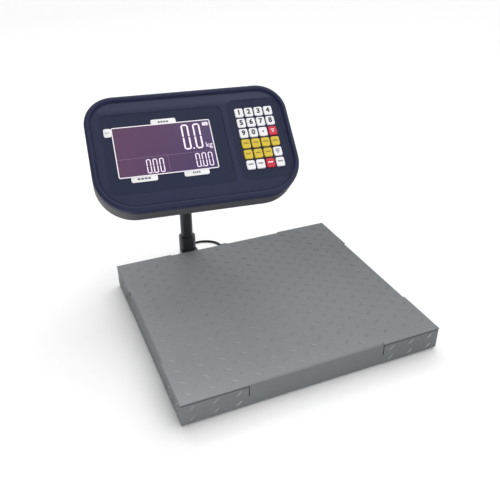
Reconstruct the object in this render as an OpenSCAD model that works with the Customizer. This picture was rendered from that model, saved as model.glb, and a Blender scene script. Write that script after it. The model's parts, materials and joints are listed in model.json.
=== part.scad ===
// Platform pallet scale: a low tread-plate deck on four load cells, with a large
// two-shell indicator held over it by a pillar at the back.
// Frame: Z up, origin on the floor under the middle of the whole scale, front towards -Y.

/* [Deck] */
// Width of the deck, left to right
deck_w = 600; // [580:10:640]
// Depth of the deck, front to back
deck_d = 534; // [520:1:560]
// Height of the deck's top above the floor
deck_h = 58; // [58:1:64]
// Thickness of the deck plate
plate_t = 3; // [3:0.5:4.5]
// Outer radius of the folded edges
bend_r = 5.5; // [5:0.5:8]
// Height of the skirts' lower edge above the floor
skirt_z = 4; // [3:0.5:6]

/* [Corners] */
// Thickness of the corner skirts
skirt_t = 3; // [2:0.5:3]
// Length of a corner skirt along the front and back
corner_x = 142; // [130:1:146]
// Length of a corner skirt along the sides
corner_y = 128; // [120:1:134]
// Shadow gap between the deck plate and a corner skirt
gap_h = 3; // [2:0.5:4]
// Width of the upright slit at a corner skirt's end
slit_w = 2; // [1:0.1:3]
// Depth of the upright slit below the deck's top
slit_d = 31; // [20:1:36]
// How far the corner skirts lie inside the deck plate's edge
skirt_in = 0.8; // [0.5:0.1:1.2]
// How far the folded edges lie inside the deck plate's edge
flap_in = 1.5; // [1.2:0.1:2.5]
// Length of the ground weld that blends a corner skirt into the fold
weld_l = 5; // [3:1:6]
// Chamfer along the deck plate's top edge at the corners
edge_c = 1.2; // [0.5:0.1:2]

/* [Pillar] */
// Distance of the pillar from the deck's middle line, negative is left
pillar_x = -100; // [-105:1:-95]
// Distance of the pillar's axis behind the deck's back edge
pillar_back = 27; // [26:1:30]
// Outer diameter of the pillar tube
pillar_d = 32; // [30:1:34]
// Height of the tilt hinge above the floor
hinge_z = 360; // [340:5:420]
// Reach of the arm from the pillar's axis to the tilt hinge
arm_l = 88; // [80:1:100]

/* [Indicator] */
// Turn of the indicator about the pillar, negative is towards the left
head_yaw = -6.6; // [-12:0.1:0]
// Slope of the indicator's face from level
head_slope = 42; // [35:1:50]
// Width of the casing
case_w = 456; // [450:1:460]
// Height of the casing along its face
case_h = 274; // [270:1:280]
// Corner radius at the top of the casing
top_r = 66; // [50:1:70]
// Corner radius at the bottom of the casing
low_r = 88; // [70:1:92]
// Depth of the casing behind its face
case_d = 62; // [60:1:70]
// Height of the rim above the face
rim_h = 5; // [3:0.5:8]
// Width of the rim
rim_w = 13; // [10:1:15]

/* [Keys] */
// Distance between key columns
key_px = 22.8; // [22.6:0.1:23]
// Distance between key rows
key_py = 26; // [26:0.1:27]
// Width of a key cap
key_w = 19.4; // [17:0.1:19.6]
// Height of a key cap
key_h = 21.6; // [20:0.1:22.4]
// Height of a key's top above the face
key_up = 2.2; // [1.5:0.1:3]

/* [Hidden] */
$fn = 64;
KEYS = [for (r = [1:6]) for (c = [1:4]) str("key_r", r, "c", c)];

// Places on the deck, counted from the middle of its footprint
deck_x0 = -deck_w / 2;
deck_y0 = -deck_d / 2;
deck_y1 = deck_d / 2;
back_y = deck_y1 - flap_in;
under_z = deck_h - plate_t;
pillar_y = deck_y1 + pillar_back;
// How far the swivel's clamp knob stands off the ring, and its reach behind the pillar
knob_off = 12.4;
knob_reach = 47;
// How far the casing stands out past the deck's left edge
left_reach = 50;
// The row's origin is under the middle of the whole scale
shift = [left_reach / 2, -(pillar_y + knob_reach - deck_y1) / 2, 0];

// Frame rails
rail_w = 40;
rail_z = 30;
rail_t = 2.5;
rail_x = 125;
rail_end = 20;
cross_ys = [-150, -15, 120];

// Corner group, measured from the deck's corner
plate_in = skirt_in + skirt_t;
plate_len = deck_w / 2 - rail_x - rail_w / 2 - plate_in;
cell_l = 120;
cell_w = 28;
cell_z0 = 19;
cell_z1 = 43;
cell_x = 13;
cell_y = 43;
foot_x = 30;
foot_r = 22;
foot_h = 8;
stud_r = 5.95;
bolt_xs = [86, 114];

// Junction box, gland and lead
box_x = [-10, 90];
box_y = [150, 220];
box_z = 28;
lead_r = 2.5;
cord_r = 3;
cord_x = 18;
cord_z = 30;
gland_end = 288;
entry_z = 16.5;
entry_end = 340;
entry_r = 6;

// Pillar and its bracket
tube_r = pillar_d / 2;
tube_t = 2;
tube_top = hinge_z - 32;
socket_r = tube_r + 6;
socket_h = 84;
bracket_w = 100;
bracket_t = 5;
bolt_dx = 38;
bolt_zs = [15, 39];
bolt_r = 4;
set_zs = [66, 80];
set_r = 3;
ring_r = tube_r + 6;
ring_h = 20;
ring_z = tube_top - 26;

// Swivel head and tilt hinge
lug_r = 14;
lug_w = 32;
ear_t = 5;
ear_gap = 0.4;
pin_r = 5;
hinge_y = 30;
hinge_back = case_d + 30;
ear_l = hinge_back - case_d - 2;
knob_r = 16;
knob_t = 17;

// Indicator, measured from the middle of its face
wall = 3;
part_z = -12;
rear_in = [1, 4, 11];
rear_z = [-44, -54];
step_t = 2;
panel_d = 1;
disp = [217, 120];
disp_c = [-65, 2];
pane_t = 1.2;
pane_lap = 6;
disp_panel = [270, 190];
disp_panel_c = [-60, -2];
panel_r = [14, 20];
key_panel = [121, 200];
key_panel_c = [149, 2];
key_c = [114.3, 69.2];
key_r = 3.5;
hole_gap = 0.35;
flange_gap = 0.3;
screw_at = [[-165, 108], [0, 108], [165, 108], [-150, -108], [150, -108]];
pack_c = [0, -94];
board_c = [147, 4, 0];
plate_screws = [for (x = [-36, 36]) for (y = [-26, 26]) [x, y]];
switch_y = 12;
switch_z = -36;
rocker_pin = 1.2;
inlet_y = -24;
side_x = case_w / 2 - 1;

// The lead's route on the floor, from the deck's gland to the pillar's
CORD = [[18, 288, 30], [18, 296, 30], [18, 306, 28], [17.5, 317, 23], [16.5, 328, 16],
    [15.3, 338, 9.5], [14, 348, 5], [12.6, 357.8, 3.3], [8.7, 367.1, 3.2], [2.2, 375.4, 3.2],
    [-6.3, 382.4, 3.2], [-16.6, 387.6, 3.2], [-28, 390.9, 3.2], [-40, 392, 3.2],
    [-53.4, 390.8, 3.2], [-66, 387.4, 3.3], [-77.4, 382, 4], [-86.9, 374.7, 6.2],
    [-94.1, 366, 9.5], [-98.5, 356.2, 13.3], [-100, 346, 16], [-100, 340, 16.5]];

// ---------------------------------------------------------------- helpers

module placed() { translate(shift) children(); }

// The swivel's frame: pillar axis, turned by the yaw, forward is -Y
module at_swivel() { placed() translate([pillar_x, pillar_y, 0]) rotate([0, 0, head_yaw]) children(); }

// The indicator's frame: middle of the face, X across, Y up the face, Z out of it
module at_head() {
    at_swivel() translate([0, -arm_l, hinge_z]) rotate([head_slope, 0, 0])
        translate([0, -hinge_y, hinge_back]) children();
}

// Four corners, each drawn from the corner with its legs along +X and +Y
module corners() {
    placed() for (sx = [0, 1]) for (sy = [0, 1])
        mirror([sx, 0, 0]) mirror([0, sy, 0]) translate([deck_x0, deck_y0, 0]) children();
}

module round_rect(size, r) {
    for (x = [-1, 1]) for (y = [-1, 1])
        translate([x * (size[0] / 2 - r), y * (size[1] / 2 - r)]) circle(r);
    square([size[0], size[1] - 2 * r], center = true);
    square([size[0] - 2 * r, size[1]], center = true);
}

module slab(size, r, z0, z1) { translate([0, 0, z0]) linear_extrude(z1 - z0) round_rect(size, r); }

module rod(r, z0, z1) { translate([0, 0, z0]) cylinder(r = r, h = z1 - z0); }

module hexagon(af, z0, z1) { translate([0, 0, z0]) cylinder(r = af / sqrt(3), h = z1 - z0, $fn = 6); }

// A rod along Y
module rod_y(r, y0, y1) { translate([0, y1, 0]) rotate([90, 0, 0]) cylinder(r = r, h = y1 - y0); }

function unit(v) = v / norm(v);
function along(p, i) = unit(p[min(i + 1, len(p) - 1)] - p[max(i - 1, 0)]);
function ring(p, i, r, n) =
    let (t = along(p, i), s = unit(cross(t, [0, 0, 1])), u = cross(s, t))
    [for (k = [0:n - 1]) p[i] + r * (cos(360 * k / n) * s + sin(360 * k / n) * u)];

// A tube swept through the points p
module sweep(p, r, n) {
    m = len(p);
    points = [for (i = [0:m - 1]) each ring(p, i, r, n)];
    sides = [for (i = [0:m - 2]) for (k = [0:n - 1])
        [i * n + k, i * n + (k + 1) % n, (i + 1) * n + (k + 1) % n, (i + 1) * n + k]];
    caps = [[for (k = [n - 1:-1:0]) k], [for (k = [0:n - 1]) (m - 1) * n + k]];
    polyhedron(points, concat(sides, caps));
}

// ---------------------------------------------------------------- platform

// The fold along one edge: outward is +X, the edge of the corners is at x = 0
module flap(length) {
    rotate([90, 0, 0]) translate([-flap_in, 0, -length / 2]) linear_extrude(length) {
        translate([-bend_r, deck_h - bend_r]) intersection() {
            difference() { circle(bend_r); circle(bend_r - plate_t); }
            square(bend_r);
        }
        translate([-plate_t, skirt_z]) square([plate_t, deck_h - bend_r - skirt_z]);
    }
}

module deck_plate() color("gray") placed() {
    flap_x = deck_w - 2 * (corner_x + slit_w);
    flap_y = deck_d - 2 * (corner_y + slit_w);
    cut = flap_in + bend_r;
    difference() {
        translate([deck_x0, deck_y0, under_z]) cube([deck_w, deck_d, plate_t]);
        for (s = [-1, 1]) {
            translate([0, s * deck_d / 2, deck_h]) rotate([45, 0, 0])
                cube([deck_w + 2, edge_c * sqrt(2), edge_c * sqrt(2)], center = true);
            translate([s * deck_w / 2, 0, deck_h]) rotate([0, 45, 0])
                cube([edge_c * sqrt(2), deck_d + 2, edge_c * sqrt(2)], center = true);
            translate([-flap_x / 2, s * deck_d / 2 - cut, under_z - 1])
                cube([flap_x, 2 * cut, plate_t + 2]);
            translate([s * deck_w / 2 - cut, -flap_y / 2, under_z - 1])
                cube([2 * cut, flap_y, plate_t + 2]);
        }
    }
    for (s = [0, 1]) rotate([0, 0, 180 * s]) translate([deck_w / 2, 0, 0]) flap(flap_y);
    rotate([0, 0, -90]) translate([deck_d / 2, 0, 0]) flap(flap_x);
    difference() {
        rotate([0, 0, 90]) translate([deck_d / 2, 0, 0]) flap(flap_x);
        for (x = [-bolt_dx, bolt_dx]) for (z = bolt_zs)
            translate([pillar_x + x, 0, z]) rod_y(bolt_r + 0.5, deck_y1 - 10, deck_y1 + 1);
        translate([cord_x, 0, cord_z]) rod_y(8.1, deck_y1 - 10, deck_y1 + 1);
    }
}

// A corner skirt's leg along +X: its sheet, and the weld that runs out onto the fold
module skirt_leg(length, top, low) {
    translate([skirt_in, skirt_in, 0]) cube([length - skirt_in, skirt_t, top]);
    linear_extrude(low) polygon([[length - 1, skirt_in], [length, skirt_in],
        [length + weld_l, flap_in], [length + slit_w, flap_in], [length + slit_w, plate_in],
        [length - 1, plate_in]]);
}

module corner_skirts() color("dimgray") corners() translate([0, 0, skirt_z]) {
    top = under_z - gap_h - skirt_z;
    low = deck_h - slit_d - skirt_z;
    skirt_leg(corner_x, top, low);
    mirror([1, -1, 0]) skirt_leg(corner_y, top, low);
}

module frame_rails() color("dimgray") placed() {
    half = deck_d / 2 - rail_end;
    for (s = [-1, 1]) translate([s * rail_x, 0, 0]) difference() {
        translate([-rail_w / 2, -half, rail_z]) cube([rail_w, 2 * half, under_z - rail_z]);
        translate([-rail_w / 2 + rail_t, -half - 1, rail_z + rail_t])
            cube([rail_w - 2 * rail_t, 2 * half + 2, under_z - rail_z - 2 * rail_t]);
    }
    reach = rail_x - rail_w / 2;
    for (y = cross_ys) translate([-reach, y - rail_w / 2, rail_z]) difference() {
        cube([2 * reach, rail_w, under_z - rail_z]);
        translate([-1, rail_t, rail_t])
            cube([2 * reach + 2, rail_w - 2 * rail_t, under_z - rail_z - 2 * rail_t]);
    }
}

// Mounting plates of the load cells, with a packing pad over each fixed end
module cell_plates() color("dimgray") corners() difference() {
    union() {
        translate([plate_in, plate_in, under_z - 8]) cube([plate_len, 80, 8]);
        translate([cell_x + 60, cell_y - cell_w / 2, cell_z1]) cube([60, cell_w, 4]);
    }
    // clear of the deck's fold, past the corner skirt
    translate([corner_x, 0, under_z - 9]) cube([plate_len, flap_in + bend_r, 10]);
    for (x = bolt_xs) translate([x, cell_y, 0]) rod(5.1, cell_z1 - 1, under_z + 1);
}

module load_cells() color("silver") corners() difference() {
    translate([cell_x, cell_y - cell_w / 2, cell_z0]) cube([cell_l, cell_w, cell_z1 - cell_z0]);
    for (x = bolt_xs) translate([x, cell_y, 0]) rod(5.3, cell_z0 - 1, cell_z1 + 1);
    translate([foot_x, cell_y, 0]) rod(stud_r + 0.05, cell_z0 - 1, cell_z1 + 1);
    // milled gauge pockets, one on each side
    for (s = [-1, 1]) translate([54, cell_y + s * cell_w / 2, (cell_z0 + cell_z1) / 2])
        rotate([90, 0, 0]) translate([0, 0, -5]) cylinder(r = 8, h = 10);
}

module cell_fasteners() color("silver") corners() {
    for (x = bolt_xs) translate([x, cell_y, 0]) {
        hexagon(17, cell_z0 - 6.5, cell_z0);
        rod(5, cell_z0 - 1, under_z - 1);
    }
    translate([foot_x, cell_y, 0]) difference() {
        hexagon(19, cell_z0 - 7, cell_z0);
        rod(stud_r + 0.05, cell_z0 - 8, cell_z0 + 1);
    }
}

module foot(sx, sy) color("dimgray") placed() mirror([sx, 0, 0]) mirror([0, sy, 0])
    translate([deck_x0 + foot_x, deck_y0 + cell_y, 0]) {
        rod(foot_r, 0, foot_h - 2);
        rod(foot_r - 8, 0, foot_h);
        rod(stud_r, 0, cell_z1 - 2);
    }

module foot_front_left() foot(0, 0);
module foot_front_right() foot(1, 0);
module foot_back_left() foot(0, 1);
module foot_back_right() foot(1, 1);

module junction_box() color("gainsboro") placed() difference() {
    size = [box_x[1] - box_x[0], box_y[1] - box_y[0], under_z - box_z];
    translate([box_x[0], box_y[0], box_z]) cube(size);
    translate([box_x[0] + 3, box_y[0] + 3, box_z - 1]) cube([size[0] - 6, size[1] - 6, size[2] - 2]);
}

module junction_lid() color("gainsboro") placed() {
    translate([box_x[0], box_y[0], box_z - 3]) cube([box_x[1] - box_x[0], box_y[1] - box_y[0], 3]);
    for (x = box_x) for (y = box_y)
        translate([x + (x > box_x[0] ? -8 : 8), y + (y > box_y[0] ? -8 : 8), 0])
            rod(3, box_z - 5, box_z - 3);
}

// One lead from a load cell's inner end to the junction box: s = -1 left, 1 right
function front_lead(s) = let (x = box_x[s > 0 ? 1 : 0]) [[s * 167, -224, 34], [s * 161, -224, 34],
    [s * 152, -223, 26], [s * 145, -222, 26], [s * 104, -216, 26], [s * 98, -208, 26],
    [s * 97, -190, 26], [s * 97, 138, 26], [s * 97, 149, 28], [s * 96, 160, 36],
    [x + s * 4, 168, 40], [x, 168, 40]];
function back_lead(s) = let (x = box_x[s > 0 ? 1 : 0]) [[s * 167, 224, 34], [s * 161, 224, 34],
    [s * 152, 223, 26], [s * 145, 222, 26], [s * 104, 220, 26], [s * 99, 213, 32],
    [s * 97, 206, 40], [x + s * 4, 200, 40], [x, 200, 40]];

module load_cell_leads() color("black") placed() {
    for (s = [-1, 1]) {
        sweep(front_lead(s), lead_r, 8);
        sweep(back_lead(s), lead_r, 8);
    }
    translate([cord_x, 0, cord_z]) rod_y(cord_r, box_y[1], back_y - plate_t - 6);
}

module deck_gland() color("silver") placed() translate([cord_x, back_y, cord_z]) rotate([-90, 0, 0]) {
    hexagon(22, -plate_t - 6, -plate_t);
    rod(8, -plate_t - 6, 1);
    hexagon(22, 0, 5);
    rod(9.5, 5, 15);
    translate([0, 0, 15]) cylinder(r1 = 9.5, r2 = 5, h = gland_end - back_y - 15);
}

module platform_cord() color("black") placed() sweep(CORD, cord_r, 12);

// ---------------------------------------------------------------- pillar

module pillar_bracket() color("dimgray") placed() translate([pillar_x, 0, 0]) difference() {
    union() {
        translate([-bracket_w / 2, back_y, 6]) cube([bracket_w, bracket_t, deck_h - bend_r - 6]);
        translate([-socket_r, back_y, 6]) cube([2 * socket_r, pillar_y - back_y, deck_h - bend_r - 6]);
        translate([0, pillar_y, 0]) rod(socket_r, 6, 6 + socket_h);
    }
    translate([0, pillar_y, 0]) rod(tube_r + 0.1, 9, socket_h + 10);
    for (x = [-bolt_dx, bolt_dx]) for (z = bolt_zs) translate([x, 0, z])
        rod_y(bolt_r + 0.5, back_y - 1, back_y + bracket_t + 1);
    translate([0, 0, entry_z]) rod_y(entry_r, pillar_y, pillar_y + socket_r + 1);
    for (z = set_zs) translate([0, 0, z]) rod_y(set_r, pillar_y, pillar_y + socket_r + 1);
}

module pillar_bolts() color("silver") placed() translate([pillar_x, 0, 0]) {
    for (x = [-bolt_dx, bolt_dx]) for (z = bolt_zs) translate([x, back_y, z]) rotate([-90, 0, 0]) {
        hexagon(13, bracket_t, bracket_t + 5.3);
        rod(bolt_r, -plate_t - 9, bracket_t + 1);
        hexagon(13, -plate_t - 6.5, -plate_t);
    }
    // set screws that hold the tube in the socket
    for (z = set_zs) translate([0, pillar_y, z]) rod_y(set_r - 0.1, tube_r, socket_r + 1);
}

module pillar_tube() color("dimgray") placed() translate([pillar_x, pillar_y, 0]) difference() {
    union() {
        rod(tube_r, 9, tube_top);
        rod(ring_r, ring_z, ring_z + ring_h);
    }
    rod(tube_r - tube_t, 8, tube_top + 1);
    translate([0, 0, entry_z]) rod_y(entry_r, 0, tube_r + 1);
    translate([0, 0, ring_z + ring_h / 2]) rod_y(3.05, 0, ring_r + 1);
}

module pillar_gland() color("black") placed() translate([pillar_x, pillar_y, entry_z])
    rotate([-90, 0, 0]) {
        rod(entry_r - 0.1, tube_r - tube_t, socket_r + 1);
        hexagon(15, socket_r, socket_r + 5);
        rod(7, socket_r + 5, socket_r + 14);
        translate([0, 0, socket_r + 14]) cylinder(r1 = 7, r2 = 4.5, h = entry_end - pillar_y - socket_r - 14);
    }

// A clamp knob with six lobes on a stud, along +Z from its mounting face
module star_knob(stud, stud_len, boss) {
    rod(stud, -stud_len, 1);
    rod(9, 0, boss);
    translate([0, 0, boss]) linear_extrude(knob_t - boss) {
        circle(knob_r - 1);
        for (a = [0:60:300]) rotate(a) translate([knob_r - 4, 0]) circle(6);
    }
}

module swivel_knob() color("black") placed()
    translate([pillar_x, pillar_y, ring_z + ring_h / 2]) rotate([-90, 0, 0])
        translate([0, 0, ring_r + knob_off]) scale(0.75) star_knob(4, 26.5, 5);

module swivel_head() color("black") at_swivel() difference() {
    union() {
        rod(tube_r - tube_t - 0.07, tube_top - 45, tube_top + 1);
        rod(ring_r, tube_top + 0.3, hinge_z - 10);
        translate([-12, -arm_l, hinge_z - 24]) cube([24, arm_l, 14]);
        translate([-lug_w / 2, -arm_l, hinge_z]) rotate([0, 90, 0]) cylinder(r = lug_r, h = lug_w);
    }
    translate([-lug_w, -arm_l, hinge_z]) rotate([0, 90, 0]) cylinder(r = pin_r, h = 2 * lug_w);
}

module tilt_bracket() color("dimgray") at_head() translate([0, hinge_y, 0]) {
    difference() {
        slab([90, 72], 6, -case_d - 4, -case_d);
        for (p = plate_screws) translate(p) rod(2.2, -case_d - 5, -case_d + 1);
    }
    for (s = [-1, 1]) translate([s * (lug_w / 2 + ear_gap + ear_t / 2), 0, 0]) rotate([0, 90, 0])
        translate([hinge_back, 0, -ear_t / 2]) difference() {
            union() {
                cylinder(r = lug_r, h = ear_t);
                translate([-ear_l, -lug_r, 0]) cube([ear_l, 2 * lug_r, ear_t]);
            }
            translate([0, 0, -1]) cylinder(r = pin_r + 0.05, h = ear_t + 2);
        }
}

// Tilt clamp knobs, screwed into the swivel head's lug from both sides
module tilt_knob(s) color("black") at_swivel() translate([0, -arm_l, hinge_z])
    rotate([0, s * 90, 0]) translate([0, 0, lug_w / 2 + 2 * ear_gap + ear_t])
        star_knob(pin_r - 0.03, 2 * ear_gap + ear_t + 12, 4);

module tilt_knob_left() tilt_knob(-1);
module tilt_knob_right() tilt_knob(1);

// ---------------------------------------------------------------- indicator

// Outline of the casing, moved inwards by inset
module case_outline(inset) {
    w = case_w / 2 - inset;
    h = case_h / 2 - inset;
    rt = top_r - inset;
    rl = low_r - inset;
    for (s = [-1, 1]) {
        translate([s * (w - rt), h - rt]) circle(rt, $fn = 128);
        translate([s * (w - rl), rl - h]) circle(rl, $fn = 128);
    }
    translate([rt - w, 0]) square([2 * (w - rt), h]);
    translate([-w, rl - h]) square([2 * w, 2 * h - rl - rt]);
    translate([rl - w, -h]) square([2 * (w - rl), h]);
}

module case_slab(inset, z0, z1) { translate([0, 0, z0]) linear_extrude(z1 - z0) case_outline(inset); }

module key_place(r, c) { translate([key_c[0] + (c - 1) * key_px, key_c[1] - (r - 1) * key_py, 0]) children(); }

module front_shell() color("midnightblue") at_head() difference() {
    union() {
        difference() {
            case_slab(0, part_z, rim_h);
            case_slab(wall, part_z - 1, -wall);
            case_slab(rim_w, 0, rim_h + 1);
        }
        for (p = screw_at) translate(p) rod(5.5, part_z, -wall + 0.5);
    }
    for (p = screw_at) translate(p) rod(2, part_z - 1, -wall - 1);
    translate(disp_panel_c) slab(disp_panel, panel_r[0], -panel_d, 1);
    translate(key_panel_c) slab(key_panel, panel_r[1], -panel_d, 1);
    translate(disp_c) slab([disp[0] - 2 * pane_lap, disp[1] - 2 * pane_lap], 3, -wall - 1, 1);
    for (r = [1:6]) for (c = [1:4]) key_place(r, c)
        slab([key_w + 2 * hole_gap, key_h + 2 * hole_gap], key_r, -wall - 1, 1);
}

module rear_shell() color("dimgray") at_head() difference() {
    union() {
        difference() {
            union() {
                case_slab(rear_in[0], rear_z[0], part_z);
                case_slab(rear_in[1], rear_z[1], rear_z[0]);
                case_slab(rear_in[2], -case_d, rear_z[1]);
            }
            case_slab(rear_in[0] + wall, rear_z[0] + step_t, part_z + 1);
            case_slab(rear_in[1] + wall, rear_z[1] + step_t, rear_z[0] + step_t + 1);
            case_slab(rear_in[2] + wall, wall - case_d, rear_z[1] + step_t + 1);
        }
        for (p = screw_at) translate(p) rod(5.5, -case_d, part_z);
    }
    for (p = screw_at) translate(p) {
        rod(2.1, -case_d - 1, part_z + 1);
        rod(4, -case_d - 1, 3.5 - case_d);
    }
    translate([0, hinge_y, 0]) for (p = plate_screws) translate(p) rod(2, -case_d - 1, 4 - case_d);
    translate(pack_c) slab([104, 54], 3, -case_d - 1, 4 - case_d);
    translate([side_x - 10, switch_y - 10.2, switch_z - 6.7]) cube([13, 20.4, 13.4]);
    translate([side_x - 5, inlet_y, switch_z]) rotate([0, 90, 0]) cylinder(r = 5.6, h = 8);
}

module shell_screws() color("silver") at_head() {
    for (p = screw_at) translate(p) {
        rod(3.7, 1 - case_d, 3.5 - case_d);
        rod(1.95, 3 - case_d, -8);
    }
    translate([0, hinge_y, 0]) for (p = plate_screws) translate(p) {
        rod(3.6, -case_d - 6.3, -case_d - 4);
        rod(1.95, -case_d - 5, 5 - case_d);
    }
}

module display_window() color("purple") at_head() translate(disp_c)
    slab(disp, 4, -panel_d, pane_t - panel_d);

module display_module() color("indigo") at_head() translate(disp_c)
    slab([disp[0] - 8, disp[1] - 8], 1, -12, -wall);

module keypad_mat() color("lightgray") at_head() {
    translate(board_c) slab([110, 164], 4, -8.4, -7);
    for (r = [1:6]) for (c = [1:4]) key_place(r, c) rod(5, -7.5, -6.5);
}

module main_board() color("green") at_head() translate(board_c) {
    slab([110, 172], 2, -10, -8.4);
    translate([-30, -60, -22]) cube([34, 34, 12.5]);
    translate([-38, 10, -18]) cube([60, 20, 8.5]);
}

module battery() color("blue") at_head() translate(pack_c) slab([100, 50], 4, -57, -18);

module battery_cover() color("dimgray") at_head() translate(pack_c) {
    slab([116, 62], 5, -case_d - 2.5, -case_d);
    slab([102, 52], 3, -case_d - 1, 3 - case_d);
}

module power_switch() color("black") at_head() translate([side_x, switch_y, switch_z])
    difference() {
        union() {
            translate([0, -12.5, -9]) cube([2, 25, 18]);
            translate([-14, -10, -6.5]) cube([15, 20, 13]);
        }
        translate([-6, -8.5, -5.3]) cube([9, 17, 10.6]);
        rod(rocker_pin + 0.05, -7, 7);
    }

// The rocker at rest has its lower end pressed in, and turns on a pin across its middle
module power_rocker() color("red") at_head() translate([side_x, switch_y, switch_z]) {
    rotate([0, 0, 8]) translate([0, 0, -4.9]) linear_extrude(9.8)
        polygon([[-2, -7.7], [1, -7.7], [3, -7.5], [2.2, 0], [3, 7.5], [1, 7.7], [-2, 7.7], [-3.5, 0]]);
    rod(rocker_pin, -6.2, 6.2);
}

module power_inlet() color("black") at_head() translate([side_x, inlet_y, switch_z])
    rotate([0, 90, 0]) difference() {
        union() {
            rod(5.5, -12, 1);
            rod(7.5, 0, 1.5);
        }
        difference() {
            rod(3, -10, 2);
            rod(1, -11, 0);
        }
    }

// A key cap with its retaining flange
module key(r, c) color("white") at_head() key_place(r, c) {
    slab([key_w, key_h], key_r, -wall - flange_gap - 1, key_up);
    slab([key_w + 1.6, key_h + 1.6], key_r, -wall - flange_gap - 1.6, -wall - flange_gap);
}

deck_plate();
corner_skirts();
frame_rails();
cell_plates();
load_cells();
cell_fasteners();
junction_box();
junction_lid();
load_cell_leads();
deck_gland();
platform_cord();
foot_front_left();
foot_front_right();
foot_back_left();
foot_back_right();
pillar_bracket();
pillar_bolts();
pillar_tube();
pillar_gland();
swivel_head();
swivel_knob();
tilt_bracket();
tilt_knob_left();
tilt_knob_right();
rear_shell();
front_shell();
shell_screws();
display_window();
display_module();
keypad_mat();
main_board();
battery();
battery_cover();
power_switch();
power_rocker();
power_inlet();
for (r = [1:6]) for (c = [1:4])
    key(r, c);
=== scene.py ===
"""Looks of the platform pallet scale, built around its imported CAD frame."""

import json
import math

import bpy
import bmesh
from mathutils import Matrix, Vector
from mathutils.geometry import delaunay_2d_cdt


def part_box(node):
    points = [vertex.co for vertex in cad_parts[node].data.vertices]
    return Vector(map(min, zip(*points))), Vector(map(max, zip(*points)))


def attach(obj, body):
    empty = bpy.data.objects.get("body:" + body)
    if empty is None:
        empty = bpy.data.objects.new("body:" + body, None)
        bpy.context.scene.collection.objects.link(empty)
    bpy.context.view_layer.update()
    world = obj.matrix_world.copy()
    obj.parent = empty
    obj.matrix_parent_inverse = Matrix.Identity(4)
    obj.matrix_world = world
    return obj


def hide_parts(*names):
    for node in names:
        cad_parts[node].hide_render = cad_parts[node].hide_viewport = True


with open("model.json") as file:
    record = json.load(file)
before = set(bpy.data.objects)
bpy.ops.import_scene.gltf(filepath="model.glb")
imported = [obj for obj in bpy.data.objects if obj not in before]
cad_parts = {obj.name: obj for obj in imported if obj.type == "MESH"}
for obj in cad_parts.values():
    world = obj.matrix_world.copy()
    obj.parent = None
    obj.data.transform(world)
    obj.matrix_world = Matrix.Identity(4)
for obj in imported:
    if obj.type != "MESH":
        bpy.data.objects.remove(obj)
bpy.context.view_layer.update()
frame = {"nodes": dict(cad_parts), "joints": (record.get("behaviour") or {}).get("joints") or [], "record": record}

MM = 0.001
PLATFORM = "platform"
HEAD_BODY = "head"
JOINTS = {j["name"]: j for j in frame["joints"]}

# Deck, in millimetres, measured on the frame
deck_lo, deck_hi = (Vector(corner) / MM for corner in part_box("deck_plate"))
DECK_MID = Vector(((deck_lo.x + deck_hi.x) / 2, (deck_lo.y + deck_hi.y) / 2, 0))
DECK_W = deck_hi.x - deck_lo.x
DECK_D = deck_hi.y - deck_lo.y
DECK_TOP = deck_hi.z
DECK = Matrix.Scale(MM, 4) @ Matrix.Translation(DECK_MID)

# The indicator's own frame: X across, Y up its face, Z out of it, from the middle of the face
HINGE_UP = 30
HINGE_BACK = 92
head_x = Vector(JOINTS["indicator_tilt"]["axis"]).normalized()
head_z = -Vector(JOINTS["key_r1c1_press"]["axis"]).normalized()
head_y = head_z.cross(head_x)
hinge = Vector(JOINTS["indicator_tilt"]["pos_m"])
face_mid = hinge - head_y * HINGE_UP * MM + head_z * HINGE_BACK * MM
head_turn = Matrix((head_x, head_y, head_z)).transposed().to_4x4()
HEAD = Matrix.Translation(face_mid) @ head_turn @ Matrix.Scale(MM, 4)

# ------------------------------------------------------------------ camera and lead

# The view's place, in deck widths from the deck's front left top corner, its direction and its lens
VIEW_PLACE = (-0.344, -1.362, 1.400)
VIEW_TURN = 23.2
VIEW_DROP = 30.9
VIEW_LENS = 43.9


def add_camera():
    data = bpy.data.cameras.new("camera")
    data.lens = VIEW_LENS
    data.sensor_width = 36
    camera = bpy.data.objects.new("camera", data)
    bpy.context.collection.objects.link(camera)
    corner = Vector((deck_lo.x, deck_lo.y, DECK_TOP))
    camera.location = (corner + Vector(VIEW_PLACE) * DECK_W) * MM
    camera.rotation_euler = (math.radians(90 - VIEW_DROP), 0, math.radians(-VIEW_TURN))
    bpy.context.scene.camera = camera


add_camera()

# ------------------------------------------------------------------ mesh helpers

# Angle past which an edge stays sharp, and the distance in metres within which points merge
SHARP = 40
WELD = 2e-7


def finish_mesh(name, data, place, body, material, smooth=None):
    """Makes an object of mesh data given in local millimetres, and rides it on its body."""
    data.transform(place)
    data.validate()
    if smooth is not None:
        for face in data.polygons:
            face.use_smooth = True
        data.set_sharp_from_angle(angle=math.radians(smooth))
    piece = bpy.data.objects.new(name, data)
    bpy.context.collection.objects.link(piece)
    data.materials.append(material)
    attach(piece, body)
    return piece


def make(name, verts, faces, place, body, material, smooth=35):
    data = bpy.data.meshes.new(name)
    data.from_pydata([tuple(v) for v in verts], [], faces)
    return finish_mesh(name, data, place, body, material, smooth)


def weld(piece):
    """Merges the points that lie on each other, and turns every face outwards."""
    mesh = bmesh.new()
    mesh.from_mesh(piece.data)
    bmesh.ops.remove_doubles(mesh, verts=mesh.verts, dist=WELD)
    bmesh.ops.recalc_face_normals(mesh, faces=mesh.faces)
    mesh.to_mesh(piece.data)
    mesh.free()


def apply(piece):
    """Applies every modifier of a piece to its mesh."""
    depsgraph = bpy.context.evaluated_depsgraph_get()
    data = bpy.data.meshes.new_from_object(piece.evaluated_get(depsgraph))
    piece.modifiers.clear()
    piece.data = data


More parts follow.
